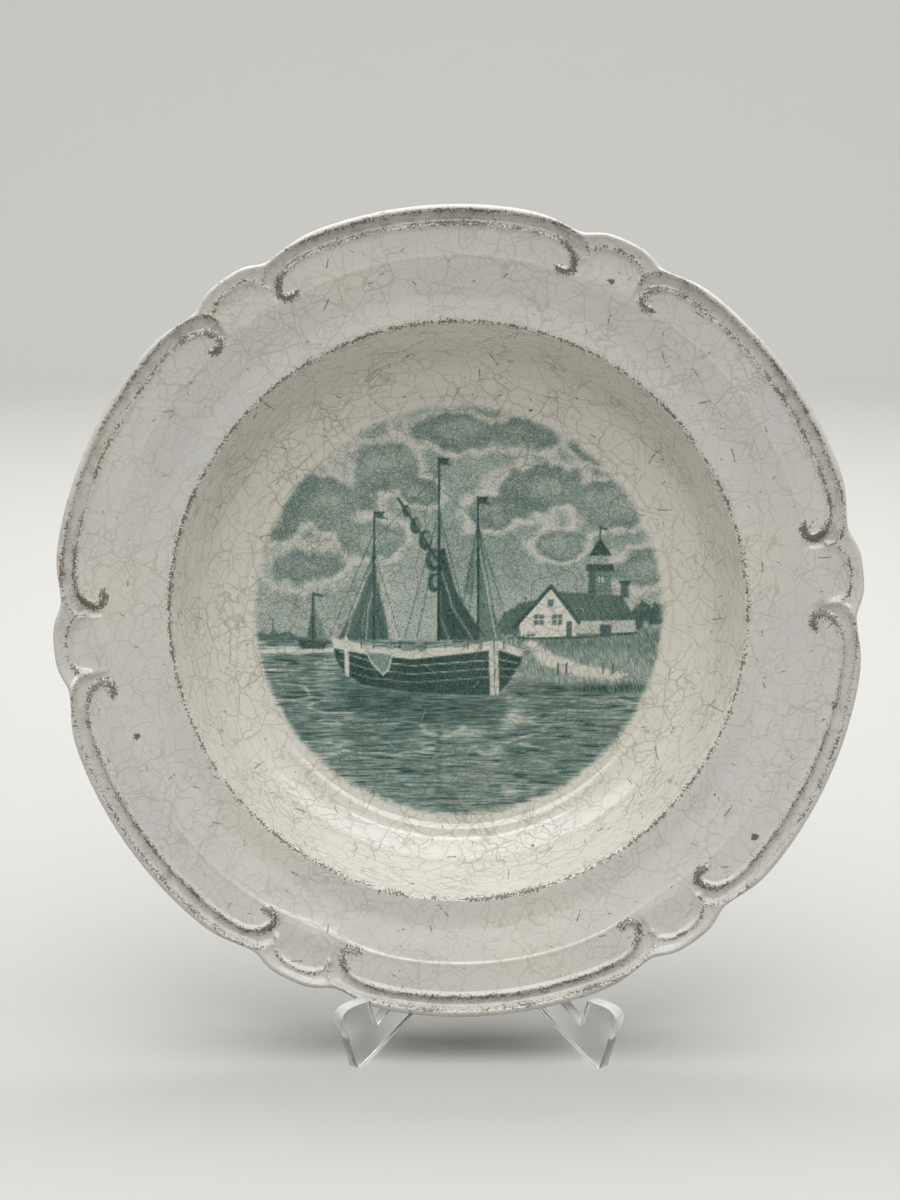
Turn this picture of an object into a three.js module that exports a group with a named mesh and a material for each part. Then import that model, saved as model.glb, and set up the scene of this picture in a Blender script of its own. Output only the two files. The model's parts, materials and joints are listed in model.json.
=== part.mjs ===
// Souvenir plate on a clear two-panel stand. Millimetres, +Z up, the face of the plate looks along -Y and leans back.
import * as THREE from "three";

const RAD = Math.PI / 180;

// ---------------------------------------------------------------- sizes
const PLATE_R = 120.3; // rim radius in the middle of a lobe
const PLATE_H = 37.6; // foot ring to the top of the rim bead
const WALL = 4.5; // body thickness
const FLANGE = 33.7; // width of the flange, rim to the crest at its inner edge
const WELL = 22.6; // width of the well wall in plan
const LIP_DROP = 6.6; // crest below the rim bead
const FOOT_OUT = 2; // outer edge of the foot ring beyond the flat floor
const FOOT_W = 3.5; // width of the foot ring
const FOOT_DEEP = 2.5; // recess inside the foot ring
const LOBES = 6; // small lobes, with a large one between each pair
const LOBE_PHASE = 5.5; // direction of the first small lobe, degrees from +X
const LOBE_HALF = 6.6; // half the angle of a small lobe, degrees
const CUSP_DEEP = 2.5; // how far the outline dips between two lobes
const CUSP_WIDE = 4.2; // the dip's reach into a large lobe, degrees
const CUSP_NARROW = 2.6; // the dip's reach into a small lobe, degrees
const RIDGE_IN = 6; // raised line inside the rim band, in from the rim
const RIDGE_CURL = 8.5; // how far the ridge turns in at a cusp
const RIDGE_UP = 0.7; // height of the ridge
const CREASE_IN = 15; // crease round the panel of a lobe, in from the rim
const TROUGH_OUT = 7.3; // trough of the flange, out from its inner crest
const LEAN = 12; // lean of the plate, degrees back from upright

const SHEET = 4; // acrylic sheet
const CROSS = 45; // each panel to the direction of view, degrees
const STAND_X = 6; // centre of the stand, to the side of the plate's centre
const CROSS_S = 52; // front foot to the crossing, along a panel
const REAR_S = 104; // front foot to the rear foot, along a panel
const FOOT_LEN = 3; // flat of a front foot
const REAR_LEN = 8; // flat of a rear foot
const NOTCH_S = 8.1; // bottom of the notch behind the hook
const NOTCH_Z = 11.2;
const HOOK_Z = 20; // top of the hook
const HOOK_TIP = 5.1; // inner corner of the hook's top
const NOSE_OUT = 6; // the hook's rounded nose, ahead of the foot
const CROWN_Z = 20; // underside of a panel at the crossing
const ARM_PAST = 9; // rear arm past the foot ring, along a panel
const REST = 0.3; // gap left at every rest
const SLIDE = 0.25; // gap each side of a half-lap slot

// ---------------------------------------------------------------- plate
// Angle in degrees from the centre of the nearest small lobe.
const fromLobe = (a) => {
  const step = 360 / LOBES;
  const d = (((a - LOBE_PHASE) % step) + step) % step;
  return d > step / 2 ? d - step : d;
};

// 0 away from a cusp, 1 at one.
const cusp = (a) => {
  const d = Math.abs(fromLobe(a)) - LOBE_HALF;
  return Math.exp(-((d / (d > 0 ? CUSP_WIDE : CUSP_NARROW)) ** 2));
};

// How far a ring's radius moves in at an angle: edge is its share of the outline's dip, ridge its share of the curl.
const dip = (a, edge, ridge) =>
  cusp(a) * (edge * CUSP_DEEP + ridge * (RIDGE_CURL - CUSP_DEEP));

const LIP_R = PLATE_R - FLANGE; // crest where the well wall meets the flange
const FLOOR_R = LIP_R - WELL; // flat floor of the well
const FOOT_R = FLOOR_R + FOOT_OUT; // outer radius of the foot ring
const RIDGE_R = PLATE_R - RIDGE_IN;
const LIP_H = PLATE_H - LIP_DROP;
const FLOOR_H = FOOT_DEEP + WALL;
const RISE = LIP_H - FLOOR_H; // height of the well wall

// Rings from the middle of the face, over the rim and in again under the plate: radius, height, edge share, ridge share.
const FACE = [
  [0, FLOOR_H, 0, 0],
  [FLOOR_R, FLOOR_H, 0, 0],
  [FLOOR_R + 0.28 * WELL, FLOOR_H + 0.045 * RISE, 0, 0],
  [FLOOR_R + 0.52 * WELL, FLOOR_H + 0.17 * RISE, 0, 0],
  [FLOOR_R + 0.72 * WELL, FLOOR_H + 0.4 * RISE, 0, 0],
  [FLOOR_R + 0.87 * WELL, FLOOR_H + 0.71 * RISE, 0, 0],
  [LIP_R - 1, LIP_H - 0.7, 0, 0],
  [LIP_R, LIP_H, 0, 0],
  [LIP_R + TROUGH_OUT, LIP_H - 0.7, 0, 0],
  [LIP_R + TROUGH_OUT + 5, LIP_H + 0.9, 0.05, 0],
  [PLATE_R - CREASE_IN, PLATE_H - 3.7, 0.3, 0.35],
  [RIDGE_R - 1.3, PLATE_H - 2.2, 1, 1],
  [RIDGE_R, PLATE_H - 2.2 + RIDGE_UP, 1, 0.95],
  [RIDGE_R + 1.1, PLATE_H - 2.1, 1, 0.75],
];
const RIM = [
  [PLATE_R - 3.9, PLATE_H - 1.9, 1, 0.3],
  [PLATE_R - 2.1, PLATE_H - 0.6, 1, 0],
  [PLATE_R - 1.2, PLATE_H, 1, 0],
  [PLATE_R - 0.3, PLATE_H - 0.4, 1, 0],
  [PLATE_R, PLATE_H - 1.4, 1, 0],
  [PLATE_R - 0.7, PLATE_H - 3.2, 1, 0],
  [PLATE_R - 2.8, PLATE_H - 4.4, 1, 0],
];
const BACK = [
  [RIDGE_R - 4.3, PLATE_H - 2.3 - WALL + 0.2, 0.6, 0],
  [LIP_R + TROUGH_OUT + 5, LIP_H + 0.9 - WALL, 0, 0],
  [LIP_R + 4.4, LIP_H - 0.7 - WALL, 0, 0],
  [LIP_R + 1.4, LIP_H - 1.7 * WALL, 0, 0],
  [FLOOR_R + 0.91 * WELL, FLOOR_H + 0.27 * RISE, 0, 0],
  [FLOOR_R + 0.66 * WELL, FLOOR_H + 0.01 * RISE, 0, 0],
  [FLOOR_R + 0.38 * WELL, FLOOR_H - 0.76 * WALL, 0, 0],
  [FOOT_R + 1, 0.88 * FOOT_DEEP, 0, 0],
  [FOOT_R, 0, 0, 0],
  [FOOT_R - FOOT_W, 0, 0, 0],
  [FOOT_R - FOOT_W - 1.5, FOOT_DEEP, 0, 0],
  [0, FOOT_DEEP, 0, 0],
];
const RINGS = [...FACE, ...RIM, ...BACK];
const UNDER = BACK.slice(1, -2); // the rings that can meet the ledge of the stand

// Directions of the vertices, closer together at the cusps.
const angles = () => {
  const side = [0.57, 0.86, 1.03, 1.29].map((k) => k * LOBE_HALF);
  const half = 180 / LOBES;
  const rest = [0.14, 0.36, 0.66].map(
    (k) => 1.29 * LOBE_HALF + k * (half - 1.29 * LOBE_HALF),
  );
  const out = [];
  for (let i = 0; i < LOBES; i++) {
    const mid = LOBE_PHASE + (i * 360) / LOBES;
    const right = [...side, ...rest].map((d) => mid - d).reverse();
    out.push(...right, mid, ...[...side, ...rest].map((d) => mid + d), mid + half);
  }
  return out;
};

// A closed body from the rings: the first and last are points on the axis.
function ringBody(rings) {
  const dirs = angles(),
    n = dirs.length,
    pos = [],
    index = [];
  for (const [r, h, edge, ridge] of rings) {
    if (r === 0) {
      pos.push(0, 0, h);
      continue;
    }
    for (const a of dirs) {
      const q = r - dip(a, edge, ridge);
      pos.push(q * Math.cos(a * RAD), q * Math.sin(a * RAD), h);
    }
  }
  const first = (k) => 1 + (k - 1) * n; // ring k, counted from the pole at 0
  for (let j = 0; j < n; j++) {
    const i = (j + 1) % n;
    index.push(0, first(1) + j, first(1) + i);
    for (let k = 1; k < rings.length - 2; k++) {
      const a = first(k),
        b = first(k + 1);
      index.push(a + j, b + j, b + i, a + j, b + i, a + i);
    }
    const e = first(rings.length - 2);
    index.push(e + j, first(rings.length - 1), e + i);
  }
  const g = new THREE.BufferGeometry();
  g.setAttribute("position", new THREE.Float32BufferAttribute(pos, 3));
  g.setIndex(index);
  g.computeVertexNormals();
  return g;
}

// ---------------------------------------------------------------- seat
// Where the plate stands: centre of its rim plane (y, z) from the front feet, and the slope of the ledge under it.
const ALONG = Math.cos(CROSS * RAD); // y gained per millimetre along a panel
const ASIDE = Math.sin(CROSS * RAD); // x gained per millimetre along a panel
const sinL = Math.sin(LEAN * RAD),
  cosL = Math.cos(LEAN * RAD);
const hookLean = (NOTCH_S - HOOK_TIP) / (HOOK_Z - NOTCH_Z);

// The point of a ring below the plate's centre at a given x, from the centre of the rim plane.
function ringPoint([r, h, edge, ridge], x) {
  const a = 270 + Math.asin(Math.max(-0.9, Math.min(0.9, x / r))) / RAD;
  const q = r - dip(a, edge, ridge);
  const v = -Math.sqrt(Math.max(0, q * q - x * x));
  const w = h - PLATE_H;
  return { y: v * sinL - w * cosL, z: v * cosL + w * sinL };
}

// Where a ring of the plate, standing at height z and y behind the front feet, crosses a panel's top edge.
// side is -1 for the panel whose front foot is at the left and 1 for the other; k is one of the sheet's two faces.
function crossing(ring, y, side, k) {
  let s = NOTCH_S,
    p;
  for (let i = 0; i < 12; i++) {
    p = ringPoint(ring, STAND_X + side * (CROSS_S - s) * ASIDE + k * ALONG);
    s = (y + p.y - side * k * ASIDE) / ALONG;
  }
  return { s, z: p.z };
}

function seat() {
  let y = 0,
    z = 0,
    slope = 0.67;
  const faces = [-1, 1].flatMap((side) => [-1, 1].map((e) => [side, (e * SHEET) / 2]));
  for (let turn = 0; turn < 40; turn++) {
    const hook = [],
      rest = [];
    for (const [side, k] of faces)
      for (const ring of RIM) {
        const c = crossing(ring, y, side, k);
        hook.push(c.s - (NOTCH_S - (z + c.z - NOTCH_Z) * hookLean));
        rest.push(z + c.z - (NOTCH_Z + (c.s - NOTCH_S) * slope));
      }
    y -= (Math.min(...hook) - REST / ALONG) * ALONG;
    z -= Math.min(...rest) - 1.3 * REST;
    slope = Math.min(
      ...faces.flatMap(([side, k]) =>
        UNDER.map((ring) => {
          const c = crossing(ring, y, side, k);
          return (z + c.z - 1.6 * REST - NOTCH_Z) / (c.s - NOTCH_S);
        }),
      ),
    );
  }
  return { y, z, slope };
}
const SEAT = seat();

// ---------------------------------------------------------------- stand
const ledge = (s) => NOTCH_Z + (s - NOTCH_S) * SEAT.slope;
const LAP_Z = (ledge(CROSS_S) + CROWN_Z) / 2; // where the two slots meet
const RING_S =
  (SEAT.y + ringPoint([FOOT_R, 0, 0, 0], 0).y) / ALONG; // the foot ring, along a panel
const ARM_S = RING_S + ARM_PAST;

// A panel's outline: s along the panel from its front foot, z up. slot is +1 for a slot open upwards, -1 for one open downwards.
function outline(slot) {
  const o = new THREE.Shape();
  const w = SHEET / 2 + SLIDE;
  o.moveTo(0, 0);
  o.lineTo(FOOT_LEN, 0);
  // underside: up from the front foot, over the crown, down to the rear foot
  o.lineTo(0.42 * CROSS_S, 0.5 * CROWN_Z);
  o.bezierCurveTo(0.62 * CROSS_S, 0.8 * CROWN_Z, 0.74 * CROSS_S, CROWN_Z, CROSS_S - w, CROWN_Z);
  if (slot < 0) {
    o.lineTo(CROSS_S - w, LAP_Z + REST / 2);
    o.lineTo(CROSS_S + w, LAP_Z + REST / 2);
  }
  o.lineTo(CROSS_S + w, CROWN_Z);
  const back = REAR_S - REAR_LEN - CROSS_S;
  o.bezierCurveTo(CROSS_S + 0.3 * back, CROWN_Z, CROSS_S + 0.46 * back, 0.8 * CROWN_Z, CROSS_S + 0.62 * back, 0.5 * CROWN_Z);
  o.lineTo(REAR_S - REAR_LEN, 0);
  o.lineTo(REAR_S, 0);
  // rear arm, with a rounded head
  const top = ledge(ARM_S);
  o.bezierCurveTo(REAR_S - 1, 0.3 * top, ARM_S + 7, 0.62 * top, ARM_S + 5.5, top - 4);
  o.bezierCurveTo(ARM_S + 5, top + 1, ARM_S + 2, top + 1.6, ARM_S, top);
  // ledge, down to the notch
  if (slot > 0) {
    o.lineTo(CROSS_S + w, ledge(CROSS_S + w));
    o.lineTo(CROSS_S + w, LAP_Z - REST / 2);
    o.lineTo(CROSS_S - w, LAP_Z - REST / 2);
    o.lineTo(CROSS_S - w, ledge(CROSS_S - w));
  }
  o.lineTo(NOTCH_S, NOTCH_Z);
  // hook and its nose
  o.lineTo(HOOK_TIP, HOOK_Z);
  o.lineTo(HOOK_TIP - 4.6, HOOK_Z);
  o.bezierCurveTo(-0.6 * NOSE_OUT, HOOK_Z, -1.1 * NOSE_OUT, HOOK_Z - 1.2, -NOSE_OUT, HOOK_Z - 4);
  o.quadraticCurveTo(-0.92 * NOSE_OUT, 0.68 * HOOK_Z, -0.7 * NOSE_OUT, 0.62 * HOOK_Z);
  o.closePath();
  return o;
}

function panel(slot) {
  const g = new THREE.ExtrudeGeometry(outline(slot), {
    depth: SHEET,
    bevelEnabled: false,
    curveSegments: 8,
  });
  g.translate(-CROSS_S, 0, -SHEET / 2);
  g.rotateX(90 * RAD); // the outline's height becomes +Z
  return g;
}

// ---------------------------------------------------------------- materials
const glaze = new THREE.MeshStandardMaterial({ color: 0xd9d6cc, roughness: 0.28 });
const acrylic = new THREE.MeshStandardMaterial({
  color: 0xe4e6e2,
  roughness: 0.08,
  transparent: true,
  opacity: 0.35,
});

// ---------------------------------------------------------------- assembly
const group = new THREE.Group();
group.name = "souvenir_plate";

const plate = new THREE.Mesh(ringBody(RINGS), glaze);
plate.name = "plate";
plate.geometry.translate(0, 0, -PLATE_H); // the rim plane through the origin
plate.geometry.rotateX((90 - LEAN) * RAD); // face along -Y, leaning back
plate.geometry.translate(0, SEAT.y, SEAT.z);
group.add(plate);

const lower = new THREE.Mesh(panel(1), acrylic);
lower.name = "stand_panel_lower";
lower.geometry.rotateZ((90 - CROSS) * RAD);
lower.geometry.translate(STAND_X, CROSS_S * ALONG, 0);
group.add(lower);

const upper = new THREE.Mesh(panel(-1), acrylic);
upper.name = "stand_panel_upper";
upper.geometry.rotateZ((90 + CROSS) * RAD);
upper.geometry.translate(STAND_X, CROSS_S * ALONG, 0);
group.add(upper);

// origin at the middle of the bounding box's base
const box = new THREE.Box3().setFromObject(group);
for (const mesh of group.children)
  mesh.geometry.translate(
    -(box.min.x + box.max.x) / 2,
    -(box.min.y + box.max.y) / 2,
    -box.min.z,
  );

export default group;
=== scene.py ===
"""A glazed souvenir plate on a clear stand of two crossed panels, with its finishes and its studio."""

import json
import math

import bmesh
import bpy
import numpy as np
from bpy.props import FloatProperty, FloatVectorProperty, IntProperty, PointerProperty
from mathutils import Matrix, Vector


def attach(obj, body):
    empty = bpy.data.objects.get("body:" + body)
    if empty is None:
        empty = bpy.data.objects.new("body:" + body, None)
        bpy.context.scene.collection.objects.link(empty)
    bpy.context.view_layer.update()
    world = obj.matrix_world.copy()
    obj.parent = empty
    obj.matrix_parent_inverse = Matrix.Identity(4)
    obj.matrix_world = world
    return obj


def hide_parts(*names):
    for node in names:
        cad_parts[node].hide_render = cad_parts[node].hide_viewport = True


bl_info = {
    "name": "Souvenir Plate",
    "version": (1, 0, 0),
    "blender": (4, 5, 0),
    "location": "View3D > Sidebar > Souvenir Plate",
    "description": "Builds a crazed earthenware plate with a printed harbour, its clear stand and a studio",
    "category": "Add Mesh",
}

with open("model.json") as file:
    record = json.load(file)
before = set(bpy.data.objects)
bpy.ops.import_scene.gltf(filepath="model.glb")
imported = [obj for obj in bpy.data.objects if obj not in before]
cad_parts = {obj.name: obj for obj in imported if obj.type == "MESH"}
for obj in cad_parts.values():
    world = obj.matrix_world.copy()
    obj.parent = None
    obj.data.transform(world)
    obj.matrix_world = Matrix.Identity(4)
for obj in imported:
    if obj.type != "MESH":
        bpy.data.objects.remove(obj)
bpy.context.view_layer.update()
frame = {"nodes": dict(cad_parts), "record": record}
MM = 0.001


# ---------------------------------------------------------------- where the plate stands
def mount_point(name):
    """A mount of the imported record: its point and its outward direction."""
    for mount in frame["record"]["mounts"]:
        if mount["name"] == name:
            return Vector(mount["pos_m"]), Vector(mount["axis"])
    raise RuntimeError(f"the record has no mount named {name}")


def plate_place():
    """The matrix that stands a plate made lying on z = 0, face up, where the frame holds it."""
    left, out = mount_point("plate_foot_left")
    right, _ = mount_point("plate_foot_right")
    face = -out.normalized()
    side = (right - left).normalized()
    up = face.cross(side)
    turn = Matrix((side, up, face)).transposed().to_4x4()
    return Matrix.Translation((left + right) / 2) @ turn


PLACE = plate_place()
UPRIGHT = PLACE.inverted()


# ---------------------------------------------------------------- sizes and colours
def length_prop(name, description, default):
    return FloatProperty(name=name, description=description, default=default, unit="LENGTH")


def colour_prop(name, description, default):
    return FloatVectorProperty(name=name, description=description, subtype="COLOR", default=default, size=3)


class PlateSettings(bpy.types.PropertyGroup):
    floor_radius: length_prop("Floor Radius", "Radius of the flat floor and its print", 0.0658)
    steps: IntProperty(name="Steps", description="Divisions round the plate", default=720, min=60)
    glaze: colour_prop("Glaze", "Colour of the glaze", (0.705, 0.683, 0.622))
    # painted shade: the flange gets the glaze made darker and cooler than in the well
    shaded_flange_glaze: colour_prop("Cool Glaze", "Colour of the glaze on the flange", (0.555, 0.545, 0.517))
    crack: colour_prop("Craze Line", "Colour of the stained craze lines", (0.37, 0.315, 0.235))
    wear: colour_prop("Wear", "Colour of the worn and soiled lines", (0.125, 0.098, 0.068))


class PrintSettings(bpy.types.PropertyGroup):
    radius: length_prop("Print Radius", "Radius of the printed scene", 0.0642)
    cells: IntProperty(name="Cells", description="Divisions across the print", default=310, min=50)
    ink: colour_prop("Ink", "Colour of the printed ink at full strength", (0.024, 0.069, 0.064))


class StandSettings(bpy.types.PropertyGroup):
    edge_round: length_prop("Edge Round", "Rounding along the cut edges", 0.00025)
    tint: colour_prop("Tint", "Tint of the clear sheet", (0.975, 0.985, 0.98))


class StudioSettings(bpy.types.PropertyGroup):
    floor: colour_prop("Floor", "Colour of the floor and backdrop", (0.45, 0.446, 0.428))
    distance: length_prop("Camera Distance", "Camera to the middle of the rim", 0.70)
    field: FloatProperty(
        name="Field of View", description="Angle across the frame", default=math.radians(21.5), subtype="ANGLE"
    )


# ---------------------------------------------------------------- shader maths
class Sock:
    """A shader socket or a number, with Python's operators adding Math nodes."""

    def __init__(self, tree, value):
        self.tree = tree
        self.value = value

    def node(self, kind, inputs=(), out=0, **settings):
        made = self.tree.nodes.new(kind)
        stops = settings.pop("stops", None)
        for key, setting in settings.items():
            setattr(made, key, setting)
        if stops:
            ramp = made.color_ramp
            while len(ramp.elements) < len(stops):
                ramp.elements.new(0.5)
            for element, (place, colour) in zip(ramp.elements, stops):
                element.position = place
                element.color = colour
        pairs = inputs.items() if isinstance(inputs, dict) else enumerate(inputs)
        for key, given in pairs:
            given = given.value if isinstance(given, Sock) else given
            if given is None:
                continue
            if isinstance(given, bpy.types.NodeSocket):
                self.tree.links.new(given, made.inputs[key])
            else:
                made.inputs[key].default_value = given
        return Sock(self.tree, made.outputs[out])

    def math(self, operation, *others, **settings):
        return self.node("ShaderNodeMath", (self, *others), operation=operation, **settings)

    def __add__(self, other):
        return self.math("ADD", other)

    def __sub__(self, other):
        return self.math("SUBTRACT", other)

    def __mul__(self, other):
        return self.math("MULTIPLY", other)

    def __truediv__(self, other):
        return self.math("DIVIDE", other)

    def __pow__(self, other):
        return self.math("POWER", other)

    __radd__ = __add__
    __rmul__ = __mul__

    def __rsub__(self, other):
        return Sock(self.tree, other).math("SUBTRACT", self)

    def abs(self):
        return self.math("ABSOLUTE")

    def min(self, other):
        return self.math("MINIMUM", other)

    def max(self, other):
        return self.math("MAXIMUM", other)

    def step(self, low, high):
        """0 below low, 1 above high, smooth between."""
        return self.node(
            "ShaderNodeMapRange", {"Value": self, "From Min": low, "From Max": high}, interpolation_type="SMOOTHSTEP"
        )

    def fall(self, low, high):
        """1 below low, 0 above high."""
        return 1.0 - self.step(low, high)

    def parts(self):
        x = self.node("ShaderNodeSeparateXYZ", (self,))
        outs = x.value.node.outputs
        return tuple(Sock(self.tree, outs[i]) for i in range(3))

    def vec(self, operation, other=None, scale=None):
        inputs = {0: self, 1: other}
        if scale is not None:
            inputs = {0: self, "Scale": scale}
        out = "Value" if operation in ("LENGTH", "DISTANCE", "DOT_PRODUCT") else "Vector"
        return self.node("ShaderNodeVectorMath", inputs, out=out, operation=operation)


class Shader:
    """A new material with its Principled shader, and the tools to feed it."""

    def __init__(self, name):
        self.material = bpy.data.materials.new(name)
        self.material.use_nodes = True
        self.tree = self.material.node_tree
        self.surface = self.tree.nodes["Principled BSDF"]

    def add(self, kind, inputs=(), out=0, **settings):
        return Sock(self.tree, None).node(kind, inputs, out, **settings)

    def plate_point(self):
        """Millimetres in the plate's own frame: x and y across it, z up from its foot."""
        back = UPRIGHT.to_euler("XYZ")
        place = self.add("ShaderNodeTexCoord", out="Object")
        return self.add(
            "ShaderNodeMapping",
            {"Vector": place, "Location": UPRIGHT.translation * 1000, "Rotation": back, "Scale": (1000, 1000, 1000)},
            vector_type="POINT",
        )

    def attribute(self, name):
        return self.add("ShaderNodeAttribute", out="Fac", attribute_name=name)

    def noise(self, point, size, detail=2.0, rough=0.5, out="Fac", **more):
        """Noise whose features are about size millimetres."""
        return self.add(
            "ShaderNodeTexNoise", {
                "Vector": point, "Scale": 1.0 / size, "Detail": detail, "Roughness": rough, **more,
            }, out=out
        )

    def combine(self, x, y, z):
        return self.add("ShaderNodeCombineXYZ", (x, y, z))

    def colour_mix(self, factor, first, second, blend="MIX"):
        def full(colour):
            return (*colour, 1.0) if isinstance(colour, (tuple, list)) or hasattr(colour, "hsv") else colour

        return self.add(
            "ShaderNodeMix", {0: factor, 6: full(first), 7: full(second)}, out=2, data_type="RGBA", blend_type=blend
        )

    def feed(self, name, value):
        socket = self.surface.inputs[name]
        if isinstance(value, Sock):
            self.tree.links.new(value.value, socket)
        else:
            socket.default_value = value

    def bump(self, height, distance, strength=1.0, under=None):
        inputs = {"Height": height, "Distance": distance, "Strength": strength}
        if under is not None:
            inputs["Normal"] = under
        return self.add("ShaderNodeBump", inputs, out="Normal")


def craze(shader, point, sizes, widths):
    """Crack networks from coarse to fine: 1 on a line, 0 off it. Each breaks up the cells of the one before."""
    shift = shader.noise(point, 7.0, detail=2.0, out="Color")
    place = point.vec(
        "ADD", shift.vec("SUBTRACT", (0.5, 0.5, 0.5)).vec("SCALE", scale=4.0),
    ).vec("MULTIPLY", (1.0, 1.0, 2.4))
    found = []
    for cell, width in zip(sizes, widths):
        settings = {"Vector": place, "Scale": 1.0 / cell, "Randomness": 1.0}
        edge = shader.add("ShaderNodeTexVoronoi", settings, out="Distance", feature="DISTANCE_TO_EDGE")
        colour = shader.add("ShaderNodeTexVoronoi", settings, out="Color")
        found.append((edge * cell).fall(width * 0.2, width))
        place = place.vec("ADD", colour.vec("SCALE", scale=61.0))
    return found


def flecks(shader, point, cell, size, share, seed):
    """Small round specks, about one to a cell, with only a share of the cells filled."""
    place = point.vec("ADD", (seed, seed * 0.7, 0.0))
    spot = shader.add("ShaderNodeTexVoronoi", {"Vector": place, "Scale": 1.0 / cell, "Randomness": 1.0}, out="Distance")
    pick = Sock(shader.tree, spot.value.node.outputs["Color"]).parts()
    ragged = shader.noise(point, 0.5, detail=1.0)
    radius = pick[1] * size + size * 0.35
    near = 1.0 - ((spot * cell + ragged * 0.5 * size) / radius).step(0.75, 1.15)
    return near * pick[0].step(1.0 - share, 1.0 - share + 0.01)


def scratches(shader, point, cell, length, width, share, seed):
    """Short straight marks, each turned its own way."""
    place = point.vec("MULTIPLY", (1.0, 1.0, 0.0)).vec("ADD", (seed, -seed, 0.0))
    found = shader.add(
        "ShaderNodeTexVoronoi", {"Vector": place, "Scale": 1.0 / cell, "Randomness": 0.8}, out="Position"
    )
    pick = Sock(shader.tree, found.value.node.outputs["Color"]).parts()
    dx, dy, _ = place.vec("SUBTRACT", found).parts()
    turn = pick[0] * 6.283 + seed
    cos, sin = turn.math("COSINE"), turn.math("SINE")
    along = (dx * cos + dy * sin).abs()
    across = (dy * cos - dx * sin) + (along * along) * 0.03
    reach = length * (0.25 + pick[1] * 0.75)
    body = 1.0 - (along / reach).step(0.8, 1.0)
    line = across.abs().fall(width * 0.3, width)
    broken = shader.noise(point, 0.7, detail=1.0).step(0.36, 0.48)
    return body * line * broken * pick[2].step(1.0 - share, 1.0 - share + 0.01)


# ---------------------------------------------------------------- form of the plate
PLATE_H = 37.6
FLOOR_R, FLOOR_H = 65.8, 7.0
LOBES, PHASE, LOBE_HALF = 6, 5.5, 6.6
CUSP_DEEP, CUSP_WIDE, CUSP_NARROW = 2.5, 4.2, 2.6
CREASE_R, TROUGH_R, MOUTH_R = 105.3, 93.9, 86.3
FLOOR_SUNK = 0.8  # recess in the body under the printed floor
MOULDED_FROM = 100  # the flange is moulded outside this radius
FAR_FROM_LINE = 20.0  # stands for any distance at which a line isn't worn
UNDER_LIP_RINGS = 4  # rings of the face section that turn under the lip

# Half of one lobe pair, in degrees from the middle of the small lobe and millimetres from the centre.
RIDGE_LINE = (
    (30, 114.3), (20, 114.3), (13, 114.2), (10, 113.7), (8.2, 112.6), (7.0, 110.9), (6.4, 109.0), (6.2, 107.3),
    (6.6, 106.1), (7.4, 105.6), (8.1, 106.0),
)
BEAD_LINE = (
    (30, 118.6), (14, 118.5), (9.5, 118.1), (7.2, 117.1), (5.6, 115.6), (4.7, 113.8), (4.3, 112.2), (4.5, 110.7),
)
LOBE_LINE = ((3.7, 113.9), (2.9, 115.1), (1.6, 115.9), (0.0, 116.2), (-1.6, 115.9))

# Half section of the body, lying face up: radius, height.
FACE_SECTION = (
    (FLOOR_R, FLOOR_H), (68.0, 7.12), (70.5, 7.7), (73.5, 9.2), (76.5, 11.6), (79.2, 15.0), (81.6, 19.4),
    (83.5, 24.0), (84.9, 28.2), (85.6, 30.0), (86.2, 30.7), (87.0, 30.88), (88.2, 30.9), (90.5, 30.95), (92.8, 31.05),
    (93.9, 31.12), (95.0, 31.4), (98.0, 32.3), (102.0, 33.5), (104.8, 34.3), (105.3, 34.42), (106.5, 34.6),
    (110.0, 35.1), (113.2, 35.6), (114.3, 35.75), (116.0, 36.1), (117.6, 36.55), (118.4, 36.95), (118.9, 37.3),
    (119.4, 37.4), (119.85, 37.2), (120.2, 36.75), (120.3, 36.1), (120.15, 35.3), (119.6, 34.4), (118.6, 33.6),
    (117.3, 33.1),
)
BACK_SECTION = (
    (110.0, 30.8), (104.0, 29.1), (98.9, 27.5), (94.0, 26.3), (91.0, 25.7), (89.0, 24.6), (87.9, 22.7), (86.4, 18.4),
    (84.5, 13.6), (82.0, 9.9), (79.0, 7.3), (75.5, 5.2), (72.0, 3.7), (69.3, 2.8), (67.3, 2.0), (66.5, 1.1),
    (66.1, 0.45), (65.6, 0.1), (65.0, 0.0), (63.4, 0.0), (62.8, 0.15), (62.4, 0.6), (61.8, 1.6), (61.2, 2.2),
    (60.4, 2.45), (55.0, 2.5), (0.0, 2.5),
)


def curve_through(points, spacing):
    """Points along a smooth curve through the given ones, about spacing(r) apart."""
    p = np.array(points, float)
    ends = np.vstack([2 * p[0] - p[1], p, 2 * p[-1] - p[-2]])
    out = [p[0]]
    for i in range(len(p) - 1):
        a, b, c, d = ends[i], ends[i + 1], ends[i + 2], ends[i + 3]
        n = max(1, int(round(np.hypot(*(c - b)) / spacing((b[0] + c[0]) / 2))))
        for t in (np.arange(n) + 1.0) / n:
            m1, m2 = (c - a) / 2, (d - b) / 2
            leaving = (2 * t**3 - 3 * t**2 + 1) * b + (t**3 - 2 * t**2 + t) * m1
            out.append(leaving + (3 * t**2 - 2 * t**3) * c + (t**3 - t**2) * m2)
    return np.array(out)


def from_lobe(angle):
    """Degrees from the middle of the nearest small lobe, always positive."""
    step = 360.0 / LOBES
    d = np.mod(angle - PHASE, step)
    return np.minimum(d, step - d)


def cusp(d):
    off = d - LOBE_HALF
    return np.exp(-((off / np.where(off > 0, CUSP_WIDE, CUSP_NARROW)) ** 2))


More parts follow.
